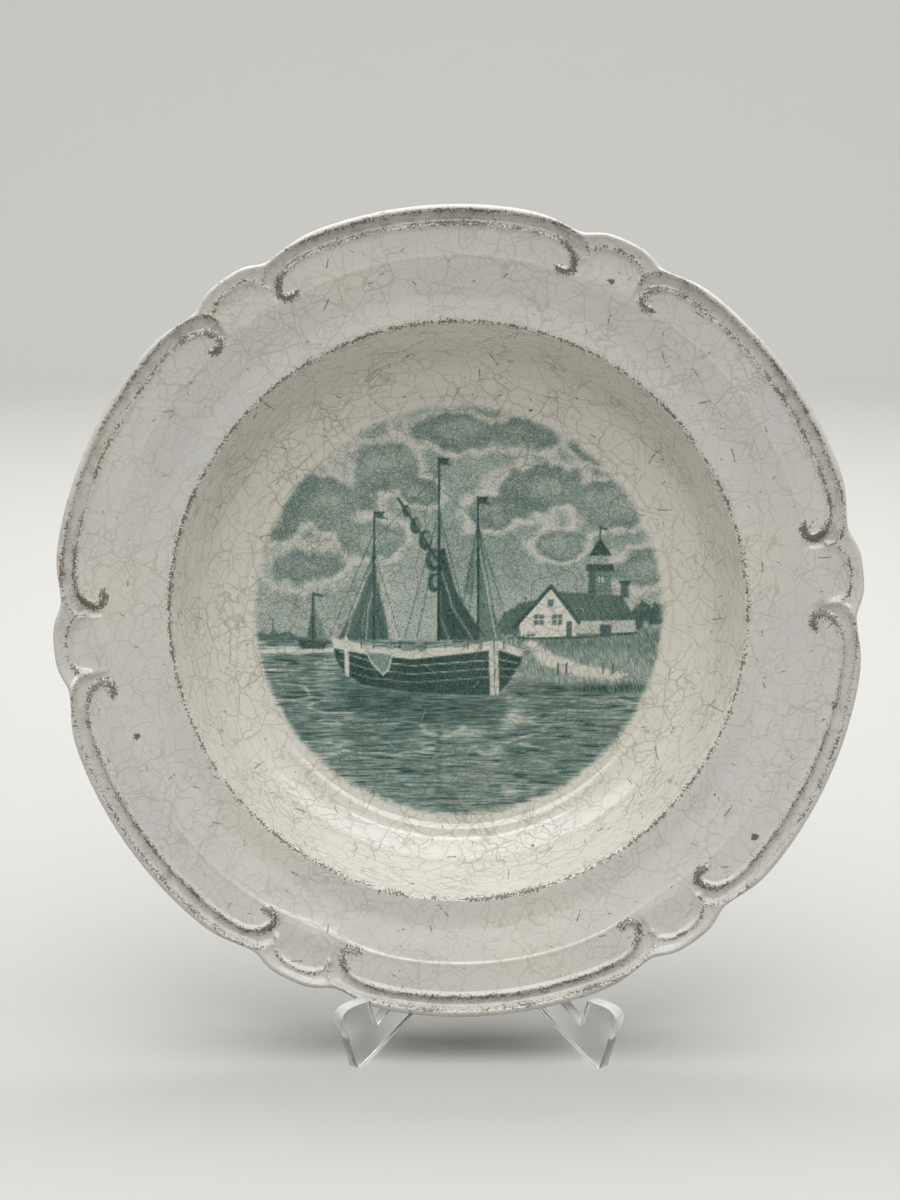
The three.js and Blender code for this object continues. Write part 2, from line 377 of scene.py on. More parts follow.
def line_distance(d, r, line):
    """Millimetres from points to a line drawn on half a lobe, and the side: positive on the rim's side."""
    a = np.radians(d)
    x, y = r * np.cos(a), r * np.sin(a)
    knots = curve_through(line, lambda _: 0.4)
    la = np.radians(knots[:, 0])
    px, py = knots[:, 1] * np.cos(la), knots[:, 1] * np.sin(la)
    best = np.full(x.shape, 1e9)
    side = np.ones(x.shape)
    for i in range(len(px) - 1):
        ex, ey = px[i + 1] - px[i], py[i + 1] - py[i]
        t = np.clip(((x - px[i]) * ex + (y - py[i]) * ey) / (ex * ex + ey * ey), 0, 1)
        dx, dy = x - px[i] - t * ex, y - py[i] - t * ey
        dist = np.hypot(dx, dy)
        turn = np.sign(ex * dy - ey * dx)
        nearer = dist < best - 1e-9
        best = np.where(nearer, dist, best)
        side = np.where(nearer, turn, side)
    return best, side


def rise(x, low, high):
    t = np.clip((x - low) / (high - low), 0, 1)
    return t * t * (3 - 2 * t)


def lobe_angle(r, line):
    """Degrees from the lobe at which a line, given from its outer end inwards, passes the radius r."""
    degrees, radii = zip(*reversed(line))
    return np.interp(r, radii, degrees)


def relief(angle, r):
    """What the mould adds to the flange, and the distances that its lines are worn along."""
    d = from_lobe(angle)
    ridge, ridge_side = line_distance(d, r, RIDGE_LINE)
    bead, bead_side = line_distance(d, r, BEAD_LINE)
    lobe, lobe_side = line_distance(d, r, LOBE_LINE)
    # the hollow lies between the ridge with its hooks and the bead
    past_ridge = d < lobe_angle(r, (RIDGE_LINE[0], *RIDGE_LINE[2:8]))
    past_bead = d < lobe_angle(r, BEAD_LINE)
    band = np.where(past_ridge & ~past_bead, rise(ridge, 0.0, 1.7) * rise(bead, 0.0, 1.6), 0)
    band = band * rise(r, 103.5, 109.5) * rise(d, 2.5, 5.5)
    small = rise(4.4 - d, 0.0, 1.6) * np.where(lobe_side < 0, rise(lobe, 0.0, 1.0), 0) * rise(r, 106.0, 113.0)
    edge = rise(119.9 - r, 0.0, 0.6)
    height = (
        0.62 * np.exp(-((ridge / 0.72) ** 2))
        + 0.42 * np.exp(-((bead / 0.7) ** 2)) * rise(119.6 - r, 0.0, 0.8)
        + 0.38 * np.exp(-((lobe / 0.6) ** 2))
        - 0.95 * band
        - 0.45 * small
    )
    worn = (abs(ridge * ridge_side - 0.45), abs(bead * bead_side + 0.25), abs(lobe * lobe_side - 0.45))
    return height * edge, *worn, band


def plate_section():
    """The closed half section, from the middle of the recess for the floor to the middle of the underside."""
    face = curve_through(FACE_SECTION, lambda r: 0.47 if r > 102.8 else 0.85 if r > 84 else 1.5)
    back = curve_through((FACE_SECTION[-1], *BACK_SECTION[:-2]), lambda r: 2.8 if r > 70 else 1.1)
    inner = np.array([(r, FLOOR_H - FLOOR_SUNK) for r in (0.0, 30.0, FLOOR_R)])
    under = np.array([(r, BACK_SECTION[-1][1]) for r in (45.0, 22.0, 0.0)])
    return np.vstack([inner, face, back[1:], under]), len(inner) + len(face)


def mesh_object(name, bm, place=None):
    mesh = bpy.data.meshes.new(name)
    if place is not None:
        bmesh.ops.transform(bm, matrix=place, verts=bm.verts)
    bm.to_mesh(mesh)
    bm.free()
    made = bpy.data.objects.new(name, mesh)
    bpy.context.scene.collection.objects.link(made)
    return made


def smooth(obj):
    obj.data.polygons.foreach_set("use_smooth", [True] * len(obj.data.polygons))


def store(mesh, name, values):
    mesh.attributes.new(name, "FLOAT", "POINT").data.foreach_set("value", np.asarray(values, np.float32))


def spin_round(bm, section, steps, wedges=12):
    """Spins a section into one wedge and repeats the wedge round the axis, closed at its seams and poles."""
    bmesh.ops.spin(
        bm, geom=section, cent=(
            0, 0, 0,
        ), axis=(0, 0, 1), angle=2 * math.pi / wedges, steps=steps // wedges, use_merge=False
    )
    wedge = bm.verts[:] + bm.edges[:] + bm.faces[:]
    for k in range(1, wedges):
        copy = bmesh.ops.duplicate(bm, geom=wedge)["geom"]
        turn = Matrix.Rotation(2 * math.pi * k / wedges, 3, "Z")
        bmesh.ops.rotate(bm, verts=[g for g in copy if isinstance(g, bmesh.types.BMVert)], cent=(0, 0, 0), matrix=turn)
    bmesh.ops.remove_doubles(bm, verts=bm.verts, dist=1e-3)


def build_plate_body(settings):
    """The fired body: its section spun round, then dished, lobed and moulded."""
    section, face_count = plate_section()
    bm = bmesh.new()
    ring = bm.verts.layers.int.new("ring")
    verts = []
    for i, (r, h) in enumerate(section):
        v = bm.verts.new((r, 0.0, h))
        v[ring] = i
        verts.append(v)
    edges = [bm.edges.new(pair) for pair in zip(verts, verts[1:])]
    spin_round(bm, verts + edges, settings.steps)
    bmesh.ops.recalc_face_normals(bm, faces=bm.faces)
    bm.verts.ensure_lookup_table()
    co = np.array([v.co[:] for v in bm.verts])
    rings = np.array([v[ring] for v in bm.verts])
    r0 = np.hypot(co[:, 0], co[:, 1])
    angle = np.degrees(np.arctan2(co[:, 1], co[:, 0]))
    # crowd the divisions towards the small lobes, where the mould is finest
    angle = angle - np.degrees(0.5 / LOBES * np.sin(np.radians(LOBES * (angle - PHASE))))
    d = from_lobe(angle)
    share = rise(r0, 104.0, 113.0)
    r = r0 - CUSP_DEEP * cusp(d) * share
    on_face = rings < face_count - UNDER_LIP_RINGS
    lift, ridge, bead, lobe, band = relief(angle, r)
    moulded = on_face & (r0 > MOULDED_FROM)
    h = co[:, 2] + np.where(moulded, lift, 0.0)
    # the crease round each lobe's panel scallops in at the small lobes, and a finer one runs round inside it
    scallop = np.exp(-((d / 9.0) ** 2))
    crease = 0.32 * np.exp(-((r0 - CREASE_R) / 3.5) ** 2) * scallop
    crease = crease + 0.11 * np.exp(-((r0 - CREASE_R + 1.9 * scallop) / 0.55) ** 2)
    crease = crease + 0.06 * np.exp(-((r0 - TROUGH_R) / 0.6) ** 2)
    h = h + np.where(on_face, crease, 0.0)
    # a hand-pressed body is a little out of true
    wob = 0.10 * np.sin(np.radians(2 * angle + 40)) + 0.06 * np.sin(np.radians(3 * angle))
    h = h + wob * rise(r0, 90, 120)
    a = np.radians(angle)
    co = np.column_stack([r * np.cos(a), r * np.sin(a), h]) * MM
    for v, p in zip(bm.verts, co):
        v.co = p
    plate = mesh_object("glazed_body", bm, PLACE)
    for name, line in (("ridge_line", ridge), ("bead_line", bead), ("lobe_line", lobe)):
        store(plate.data, name, np.where(moulded, np.minimum(line, FAR_FROM_LINE), FAR_FROM_LINE))
    store(plate.data, "band", np.where(moulded, band, 0.0))
    store(plate.data, "face_side", on_face.astype(float))
    smooth(plate)
    return plate


# ---------------------------------------------------------------- finish of the glaze
def glaze_surface(shader, settings, point):
    """Base colour of the glaze, with painted shade on the flange, and its stained craze lines, the distance from the
    axis, and the lines.
    """
    x, y, _ = point.parts()
    r = (x * x + y * y).math("SQRT")
    flange = r.step(85.0, 87.5)
    # painted shade on the flange: a darker, cooler copy of the same glaze
    base = shader.colour_mix(flange, settings.glaze, settings.shaded_flange_glaze)
    cloud = shader.noise(point, 38.0, detail=3.0)
    warm_glaze = tuple(c * k for c, k in zip(settings.glaze, (0.93, 0.90, 0.83)))
    base = shader.colour_mix(cloud.step(0.35, 0.68) * 0.4, base, warm_glaze)
    mottle = shader.noise(point, 2.4, detail=3.0, rough=0.65)
    base = shader.colour_mix(mottle.step(0.48, 0.72) * 0.15, base, (0.53, 0.50, 0.43))
    stain = shader.noise(point, 13.0, detail=2.0)
    wide, middle, fine = craze(shader, point, (11.0, 6.4, 4.2), (0.32, 0.28, 0.24))
    lines = (wide * (0.45 + stain.step(0.35, 0.66) * 0.45)).max(middle * (0.32 + stain.step(0.35, 0.62) * 0.40))
    lines = lines.max(fine * stain.step(0.42, 0.60) * 0.5)
    base = shader.colour_mix(lines * (0.56 + r.fall(84.0, 87.0) * 0.26), base, settings.crack)
    return base, r, lines


def wear_marks(shader, point, r):
    """Rubbed and soiled places along the mouth of the well and the moulded lines, and smears in the band's hollow."""
    grain = (shader.noise(point, 0.62, detail=2.0, rough=0.6) - 0.5) * 3.6
    gaps = (shader.noise(point, 5.0, detail=2.0) - 0.5) * 3.4
    broad = (shader.noise(point, 30.0, detail=1.0) - 0.5) * 1.6

    def along(distance, width, more):
        near = 1.0 - (distance.abs() / width).min(1.0)
        worn = grain + near * 0.95 + (gaps * 0.55 + broad * 0.8) * near + (more - 0.55)
        return worn.step(0.0, 0.2) * near.step(0.0, 0.1)

    ridge = shader.attribute("ridge_line")
    bead = shader.attribute("bead_line")
    lobe = shader.attribute("lobe_line")
    hook = r.fall(111.0, 113.6)
    ring = along(r - MOUTH_R, 1.35, -0.16)
    moulded = along(ridge, 1.7, hook * 0.40 - 0.17)
    core = ridge.fall(0.22, 0.68) * hook * (0.50 + grain * 0.55)
    edge = along(bead, 1.25, -0.22)
    arc = along(lobe, 1.2, -0.14)
    marks = ring.max(moulded).max(edge).max(arc).max(core.min(1.0).max(0.0))
    smear = shader.attribute("band") * (gaps * 0.30 + broad * 0.5 + grain * 0.22 + 0.42).step(0.35, 0.95)
    return marks, smear, grain


def kiln_marks(x, y, grain):
    """Three little scars where the plate stood in the kiln."""
    marks = None
    for px, py in ((-95.5, -37.6), (45.3, 97.6), (87.9, -67.1)):
        away = ((x - px) * (x - px) + (y - py) * (y - py)).math("SQRT")
        spot = (grain + away.fall(0.0, 1.6) * 1.5 + away.fall(0.5, 3.2) * 0.5).step(0.85, 1.15) * away.fall(1.6, 3.4)
        marks = spot if marks is None else marks.max(spot)
    return marks


def glaze_material(plate, name, printed=None):
    shader = Shader(name)
    point = shader.plate_point()
    base, r, lines = glaze_surface(shader, plate, point)
    x, y, z = point.parts()
    specks = flecks(shader, point, 10.0, 0.45, 0.45, 3.0)
    specks = specks.max(flecks(shader, point, 4.6, 0.24, 0.35, 71.0) * 0.85)
    knife = scratches(shader, point, 15.0, 2.4, 0.30, 0.42, 5.0)
    knife = knife.max(scratches(shader, point, 8.5, 1.1, 0.24, 0.34, 60.0) * 0.9)
    marks = specks.max(knife * 0.85)
    rough = 0.15 + lines * 0.12
    if printed is None:
        worn, smear, grain = wear_marks(shader, point, r)
        front = shader.attribute("face_side").step(0.4, 0.6)
        marks = marks.max(worn * front * 0.92).max(kiln_marks(x, y, grain) * front)
        base = shader.colour_mix(smear * front * 0.75, base, (0.235, 0.205, 0.165))
        # the foot ring is bare where it was wiped
        foot = z.fall(0.15, 0.55)
        base = shader.colour_mix(foot * 0.9, base, (0.52, 0.42, 0.30))
        rough = rough.max(foot * 0.8)
    else:
        base = printed_scene(shader, printed, point, base, lines)
        pale = scratches(shader, point, 12.0, 3.4, 0.19, 0.45, 23.0)
        base = shader.colour_mix(pale * 0.35, base, (0.62, 0.60, 0.54))
        pin = ((x - 22.3) * (x - 22.3) + (y - 61.7) * (y - 61.7)).math("SQRT").fall(0.35, 0.7)
        marks = (marks * 0.85).max(pin)
    base = shader.colour_mix(marks, base, plate.wear)
    shader.feed("Base Color", base)
    shader.feed("Roughness", (rough + marks * 0.35).min(0.9))
    shader.feed("IOR", 1.52)
    shader.feed("Coat Weight", 0.18)
    shader.feed("Coat Roughness", 0.05)
    wave = shader.noise(point, 14.0, detail=1.0)
    height = wave + shader.noise(point, 1.7, detail=1.0) * 0.045 - lines * 0.035 - marks * 0.02
    shader.feed("Normal", shader.bump(height, 0.00022, 1.0))
    return shader.material


# ---------------------------------------------------------------- the printed scene
class Drawing:
    """Ink tones over a set of points, in millimetres from the middle of the print."""

    def __init__(self, x, y, radius):
        self.x, self.y, self.radius = x, y, radius
        self.tone = np.zeros_like(x)
        self.water = np.zeros_like(x)
        self.grass = np.zeros_like(x)

    def cloudy(self, size, seed, stretch=1.0, octaves=4):
        """Smooth random cloud between about -1 and 1, its largest forms size millimetres across."""
        total, strength = np.zeros_like(self.x), 1.0
        for octave in range(octaves):
            table = np.random.RandomState(int(seed * 100) + octave).uniform(-1, 1, (64, 64))
            # round forms are turned at each octave, so that the grid behind them doesn't show
            turn = 0.6 + 1.1 * octave if stretch < 2 else 0.0
            x, y = self.x / size * 2.0**octave, self.y * stretch / size * 2.0**octave
            u = x * math.cos(turn) - y * math.sin(turn) + 7.3 + 3.1 * octave
            w = x * math.sin(turn) + y * math.cos(turn) + 3.7 + 1.9 * octave
            i, j = np.floor(u).astype(int), np.floor(w).astype(int)
            fu, fw = u - i, w - j
            fu, fw = fu * fu * (3 - 2 * fu), fw * fw * (3 - 2 * fw)
            low = table[i % 64, j % 64] * (1 - fu) + table[(i + 1) % 64, j % 64] * fu
            high = table[i % 64, (j + 1) % 64] * (1 - fu) + table[(i + 1) % 64, (j + 1) % 64] * fu
            total += strength * (low * (1 - fw) + high * fw)
            strength *= 0.5
        return total

    def shape(self, points, soft=0.22):
        """1 inside a closed outline, with a narrow soft edge."""
        x, y = self.x, self.y
        inside = np.zeros(x.shape, bool)
        near = np.full(x.shape, 1e9)
        for (ax, ay), (bx, by) in zip(points, points[1:] + points[:1]):
            crosses = (ay > y) != (by > y)
            with np.errstate(divide="ignore", invalid="ignore"):
                at = (bx - ax) * (y - ay) / ((by - ay) or 1e-9) + ax
            inside ^= crosses & (x < at)
            near = np.minimum(near, self.gap(ax, ay, bx, by))
        return np.clip(0.5 + np.where(inside, near, -near) / (2 * soft), 0, 1)

    def gap(self, ax, ay, bx, by):
        ex, ey = bx - ax, by - ay
        t = np.clip(((self.x - ax) * ex + (self.y - ay) * ey) / (ex * ex + ey * ey + 1e-9), 0, 1)
        return np.hypot(self.x - ax - t * ex, self.y - ay - t * ey)

    def stroke(self, points, width, tone=0.95, strength=1.0):
        near = np.full(self.x.shape, 1e9)
        for (ax, ay), (bx, by) in zip(points, points[1:]):
            near = np.minimum(near, self.gap(ax, ay, bx, by))
        self.paint(np.clip((width / 2 - near) / 0.28 + 0.5, 0, 1) * strength, tone)

    def paint(self, mask, tone):
        self.tone = self.tone * (1 - mask) + tone * mask

    def area(self, points, tone, grass=0.0, soft=0.22):
        mask = self.shape(points, soft)
        self.paint(mask, tone)
        self.grass = self.grass * (1 - mask) + grass * mask
        self.water = self.water * (1 - mask)


def draw_harbour(x, y, radius):
    """A plain harbour: broken cloud, a barge, a small boat, a bank with a cottage and a tower, and still water."""
    art = Drawing(x, y, radius)
    horizon = -9.5
    # sky: dark heaps of cloud with pale light round them, over an even mid tone
    small = art.cloudy(9.0, 8.4, 1.3, 4)
    puffs = 0.27 * art.cloudy(9.0, 2.7, 1.2, 2) + 0.16 * art.cloudy(3.4, 6.1, 1.0, 2)
    low = rise(y, -4.0, 12.0)
    art.tone = 0.47 + 0.05 * art.cloudy(28.0, 3.1, 1.6, 3) + 0.03 * small - 0.06 * (1 - low)
    clouds = (
        (-40, 33, 14, 8), (-24, 45, 12, 8), (-2, 55, 15, 6), (19, 55, 12, 6), (27, 38, 14, 8), (47, 33, 12, 8),
        (-47, 14, 11, 7), (-27, 23, 9, 6), (56, 13, 9, 6), (9, 30, 8, 5), (31, 20, 8, 4), (-11, 36, 7, 5),
        (-55, 27, 8, 6), (44, 50, 10, 6),
    )
    shapes = [np.hypot((x - cx) / rx, (y - cy) / ry) - 1 + puffs for cx, cy, rx, ry in clouds]
    for far in shapes:
        art.paint((1 - rise(far, 0.02, 0.55)) * 0.80, 0.15)
    for far in shapes:
        art.paint(1 - rise(far, -0.22, 0.16), 0.57 + 0.05 * small - 0.10 * rise(-far, 0.3, 0.9))
    # water: bands of tone, bright streaks and short dark cuts
    water = (y < horizon).astype(float)
    bands = art.cloudy(24.0, 5.5, 5.5, 3)
    glint = np.exp(-((bands - 0.15) / 0.10) ** 2)
    cuts = np.clip(art.cloudy(7.0, 9.9, 9.0, 2) - 0.45, 0, 1)
    deep = 0.56 + 0.07 * bands - 0.24 * glint + 0.60 * cuts + 0.10 * rise(-y, 14.0, 34.0)
    art.tone = art.tone * (1 - water) + np.clip(deep, 0.1, 0.9) * water
    art.water = water.copy()
    light = np.exp(-((y + 12.8 + 0.4 * small) / 0.9) ** 2) * (x < -18)
    art.paint(light * 0.85, 0.06)
    light = np.exp(-((x - 14.0) / 6.0) ** 2 - ((y + 33.0) / 4.5) ** 2)
    light = light + 0.8 * np.exp(-((x - 2.0) / 9.0) ** 2 - ((y + 38.0) / 1.6) ** 2)
    art.paint(np.clip(light, 0, 1) * 0.6, 0.10)
    # far shore
    shore = [
        (-66, -9.5), (-66, -7.6), (-61, -6.9), (-58.5, -7.6), (-57, -5.9), (-55.5, -7.2), (-52, -6.6), (-50, -8.2),
        (-43, -8.6), (-38, -9.5),
    ]
    art.area(shore, 0.72, grass=0.5)
    art.stroke([(-57.1, -6.2), (-57.1, -2.6)], 0.35, 0.8)
    draw_bank(art)
    draw_tower(art)
    draw_cottage(art)
    draw_small_boat(art)
    draw_barge(art)
    return finish_print(art)


def draw_bank(art):
    ragged = art.cloudy(4.0, 2.2, 1.0, 3)
    bank = [
        (8, -14), (14, -10.4), (22, -8.6), (30, -7.4), (40, -5.6), (52, -5.0), (66, -6.0), (66, -26), (58, -27.5),
        (48, -25.6), (38, -25.4), (28, -22.4), (18, -20.4), (10, -17.5),
    ]
    art.area(bank, 0.50, grass=1.0, soft=0.6)
    turf = art.shape([(20, -9), (34, -7.2), (50, -5.4), (66, -6.2), (66, -14), (44, -13.5), (30, -12)], 2.0)
    art.paint(turf * 0.7, 0.66)
    path = art.shape(
        [
            (20.5, -9.8), (23.5, -9.4), (27.5, -13.0), (37.5, -16.6),
            (52, -19.6), (49, -21.6), (34, -20.0), (25.5, -16.6),
        ],
        0.7,
    )
    art.paint(path * (0.8 + 0.2 * np.clip(ragged, -1, 1)), 0.10)
    shade = np.exp(-((art.y + 24.5 - 0.02 * (art.x - 30)) / 1.6) ** 2) * rise(art.x, 12, 24)
    art.paint(np.clip(shade * (0.7 + ragged * 0.5), 0, 1), 0.86)
    for px in (30.6, 33.2, 44.5, 47.6):
        art.stroke([(px, -19.5), (px + 0.1, -16.4)], 0.45, 0.9)


def draw_tower(art):
    art.area([(39.6, -5), (40.3, 12.2), (47.0, 12.2), (47.7, -5)], 0.66, grass=0.2)
    art.area([(39.6, -5), (40.3, 12.2), (42.3, 12.2), (41.8, -5)], 0.84, grass=0.2)
    art.area([(39.3, 12.0), (39.6, 14.2), (47.7, 14.2), (48.0, 12.0)], 0.90)
    art.area([(41.0, 14.2), (41.2, 17.0), (46.2, 17.0), (46.4, 14.2)], 0.45)
    art.area([(40.2, 16.8), (43.7, 22.4), (47.2, 16.8)], 0.92)
    art.stroke([(43.7, 22.0), (43.7, 26.0)], 0.4)
    art.stroke([(43.7, 25.3), (45.7, 24.9)], 0.5)
    for py in (8.4, 2.6):
        art.area([(43.2, py), (43.2, py + 2.2), (44.6, py + 2.2), (44.6, py)], 0.12)
        art.stroke([(43.9, py), (43.9, py + 2.2)], 0.3, 0.9)
    for py in (-1.0, 5.8, 10.4):
        art.stroke([(40.0, py), (47.2, py)], 0.28, 0.95, 0.6)


def draw_cottage(art):
    # trees behind
    for tx, ty, size in ((17.5, -3.5, 5.2), (22.0, -1.5, 5.6), (57.2, -1.2, 3.8), (61.2, -1.8, 4.0), (53.8, -2.6, 3.0)):
        leaf = art.cloudy(2.4, tx * 0.37, 1.0, 3)
        crown = np.hypot((art.x - tx) / size, (art.y - ty) / (size * 0.95)) + leaf * 0.35
        mask = rise(1.05 - crown, 0.0, 0.12)
        art.paint(mask * 0.9, 0.80)
        art.grass = art.grass * (1 - mask) + 0.5 * mask
    # long roof and wall behind the gable
    art.area([(29.0, 5.8), (50.5, 4.4), (54.6, -3.0), (35.8, -3.6)], 0.78, grass=0.15)
    art.area([(36.0, -3.4), (54.4, -3.0), (54.4, -6.8), (36.0, -7.2)], 0.34, grass=0.1)
    for i in range(9):
        px = 33.0 + i * 2.1
        art.stroke([(px - 2.6, 5.2 - i * 0.13), (px + 1.4, -3.3)], 0.26, 0.97, 0.75)
    art.area([(50.0, 4.0), (50.0, 8.6), (52.4, 8.4), (52.4, 3.8)], 0.82)
    art.stroke([(49.7, 8.7), (52.7, 8.5)], 0.7)
    # gable end
    art.area([(18.6, -4.2), (28.4, 6.6), (36.2, -3.4), (36.2, -8.2), (19.4, -8.6)], 0.10)
    art.stroke([(17.2, -5.4), (28.6, 7.4), (37.2, -3.8)], 1.15, 0.92)
    for px in (23.2, 28.8):
        art.area([(px, -4.6), (px, -1.4), (px + 3.2, -1.3), (px + 3.2, -4.5)], 0.72)
        art.stroke([(px + 1.6, -4.6), (px + 1.6, -1.3)], 0.3, 0.1)
        art.stroke([(px, -3.0), (px + 3.2, -2.9)], 0.3, 0.1)
    art.area([(27.4, 1.0), (27.4, 3.4), (29.4, 3.4), (29.4, 1.0)], 0.7)
    art.area([(33.2, -8.2), (33.2, -3.4), (35.0, -3.4), (35.0, -8.1)], 0.78)
    art.stroke([(18.4, -8.8), (37.0, -8.4), (55.0, -7.0)], 0.6, 0.85)
    for i in range(7):
        px = 14.0 + i * 1.5
        art.stroke([(px, -10.6 + i * 0.22), (px, -8.4 + i * 0.22)], 0.35, 0.8)
    art.stroke([(13.4, -9.1), (23.6, -7.7)], 0.35, 0.8)
    # doorway in the long wall
    art.area([(43.6, -4.4), (43.6, -8.0), (47.0, -8.0), (47.0, -4.4)], 0.85)


def draw_small_boat(art):
    art.area([(-49.5, -9.2), (-48.4, -12.0), (-41.4, -12.0), (-39.8, -9.6)], 0.88)
    art.area([(-46.6, -8.6), (-44.9, 2.6), (-43.6, -8.6)], 0.80, grass=0.3)
    art.area([(-43.4, -8.8), (-44.6, 1.8), (-40.4, -8.9)], 0.62, grass=0.3)
    art.stroke([(-44.8, -9), (-44.8, 5.2)], 0.5)
    art.stroke([(-44.8, 5.0), (-41.8, 4.3)], 0.55)
    ripple = art.shape([(-48.6, -12.3), (-45.4, -24), (-41.8, -12.3)], 1.2)
    art.paint(ripple * 0.5 * (0.6 + 0.4 * np.sin(art.y * 3.1)), 0.82)


def draw_barge(art):
    # sails, loosely furled or hung to dry
    art.area([(-26.2, 17.5), (-24.6, 6.0), (-20.2, -9.2), (-37.5, -9.4), (-30.6, 2.6)], 0.80, grass=0.65, soft=0.35)
    art.area([(-25.2, 17.0), (-23.4, 17.0), (-17.6, -9.0), (-21.4, -9.2)], 0.36, grass=0.4)
    art.area(
        [(-6.4, 18.5), (-4.2, 19.0), (-1.0, 6.0), (5.0, -4.0), (12.0, -9.4), (-7.4, -9.2)], 0.88, grass=0.65,
        soft=0.35,
    )
    art.area([(-7.0, 9.0), (-6.4, 9.0), (-6.6, -9.2), (-14.6, -9.2)], 0.40, grass=0.4)
    art.area([(5.4, 26.0), (6.6, 26.0), (8.8, 6.0), (13.8, -9.2), (6.4, -9.2)], 0.66, grass=0.55)
    art.area([(5.4, 25.0), (1.6, 6.0), (4.4, 4.0)], 0.62, grass=0.55)
    aft_folds = (
        ((-26.0, 15.0), (-35.0, -9.0)), ((-25.9, 12.0), (-31.4, -9.0)), ((-25.6, 9.0), (-28.4, -9.0)),
        ((-24.6, 8.0), (-23.2, -9.0)),
    )
    for i, (top, foot) in enumerate(aft_folds):
        art.stroke(
            [top, ((top[0] + foot[0]) / 2 - 0.9, (top[1] + foot[1]) / 2), foot], 0.55, 0.92 if i % 2 else 0.30, 0.6,
        )
    main_folds = (
        ((-4.8, 15.0), (8.6, -8.8)), ((-5.2, 12.0), (4.2, -8.8)), ((-5.4, 9.0), (0.4, -8.8)),
        ((-5.7, 6.0), (-3.0, -8.8)),
    )
    for i, (top, foot) in enumerate(main_folds):
        art.stroke(
            [top, ((top[0] + foot[0]) / 2 - 1.2, (top[1] + foot[1]) / 2 - 1.0), foot], 0.6, 0.34 if i % 2 else 0.96,
            0.6,
        )
    for i, (top, foot) in enumerate((((6.2, 20.0), (11.6, -8.8)), ((6.0, 14.0), (8.6, -8.8)))):
        art.stroke([top, foot], 0.5, 0.75 if i else 0.2, 0.6)
    # the bundled topsail on its slanted spar
    for bx, by, size in (
        (-10.2, 21.5, 2.3), (-13.2, 26.0, 1.9), (-16.0, 30.6, 1.4), (-7.8, 15.4, 2.6), (-7.6, 8.4, 2.2),
    ):
        blob = np.hypot((art.x - bx) / size, (art.y - by) / (size * 1.5))
        mask = rise(1.0 - blob, 0.0, 0.2)
        art.paint(mask, 0.88)
        lit = np.hypot((art.x - bx - 0.6) / (size * 0.6), (art.y - by - 0.4) / size)
        art.paint(rise(1.0 - lit, 0, 0.3) * 0.6, 0.35)
        art.grass = np.maximum(art.grass, mask * 0.5)
    art.stroke([(-5.6, 14.0), (-18.6, 34.5)], 0.75)
    # masts with their pennants, then the rigging
    for mx, top, width in ((-26.0, 30.5, 0.75), (-6.0, 47.0, 0.95), (6.0, 35.0, 0.7)):
        art.stroke([(mx, -9.0), (mx, top * 0.55)], width)
        art.stroke([(mx, top * 0.5), (mx, top)], width * 0.7)
        pennant = ((0, 0), (3.4, 0.2), (2.6, 1.6), (4.4, 2.6), (0, 2.0))
        art.area([(mx + dx, top - dy) for dx, dy in pennant], 0.85)
    for a, b in (
        ((-6, 30), (-16.5, -8.5)), ((-6, 30), (4.0, -8.5)), ((-26, 18), (-36.5, -8.6)), ((-26, 18), (-18, -8.6)),
        ((6, 26), (-0.5, -8.8)), ((6, 26), (16.5, -8.8)), ((-6, 42), (-25.6, 22)), ((6, 26), (12.4, -8.8)),
        ((-26, 24), (-40.0, -8.8)), ((-6, 38), (5.6, 27)), ((-6, 24), (-12.8, -8.5)), ((6, 18), (2.0, -8.8)),
    ):
        art.stroke([a, b], 0.3, 0.85, 0.75)
    # hull
    hull = [
        (-39.0, -8.6), (-38.0, -14.5), (-35.6, -19.0), (-29.0, -23.2), (-14, -25.4), (4, -26.2), (12.2, -26.0),
        (15.6, -22.0), (19.4, -16.0), (20.0, -12.6), (12.0, -9.8), (2.0, -11.0), (-14.0, -12.6), (-28.0, -11.2),
    ]
    art.area(hull, 0.97)
    rail = [
        (-39.2, -8.4), (-28.0, -11.0), (-14.0, -12.4), (2.0, -10.8), (12.0, -9.6), (20.2, -12.4), (19.6, -14.6),
        (12.0, -12.2), (2.0, -13.4), (-14.0, -15.2), (-28.0, -13.8), (-38.4, -11.8),
    ]
    art.area(rail, 0.16)
    plank = ((-36.6, -8.2), (-28.0, -11.0), (-14.0, -12.6), (2.0, -11.4), (12.4, -10.6))
    for drop, strength in ((4.6, 0.75), (7.2, 0.6), (9.8, 0.5)):
        line = [*((px, py - drop) for px, py in plank), (18.0, -12.6 - drop * 0.8)]
        art.stroke(line, 0.36, 0.2, strength)
    art.stroke([(-34.8, -8.8), (-34.2, -20.0)], 1.3, 0.16)
    art.area([(9.2, -9.0), (9.8, -26.6), (12.6, -26.6), (12.2, -9.2)], 0.22)
    art.stroke([(11.0, -9.6), (11.3, -26.4)], 0.3, 0.8)
    # leeboard hung on the side
    board = [(-28.6, -12.6), (-20.4, -13.6), (-21.4, -18.2), (-23.2, -20.0), (-26.6, -16.6)]
    art.area(board, 0.58, grass=0.2)
    art.stroke([*board, board[0]], 0.4, 0.15)
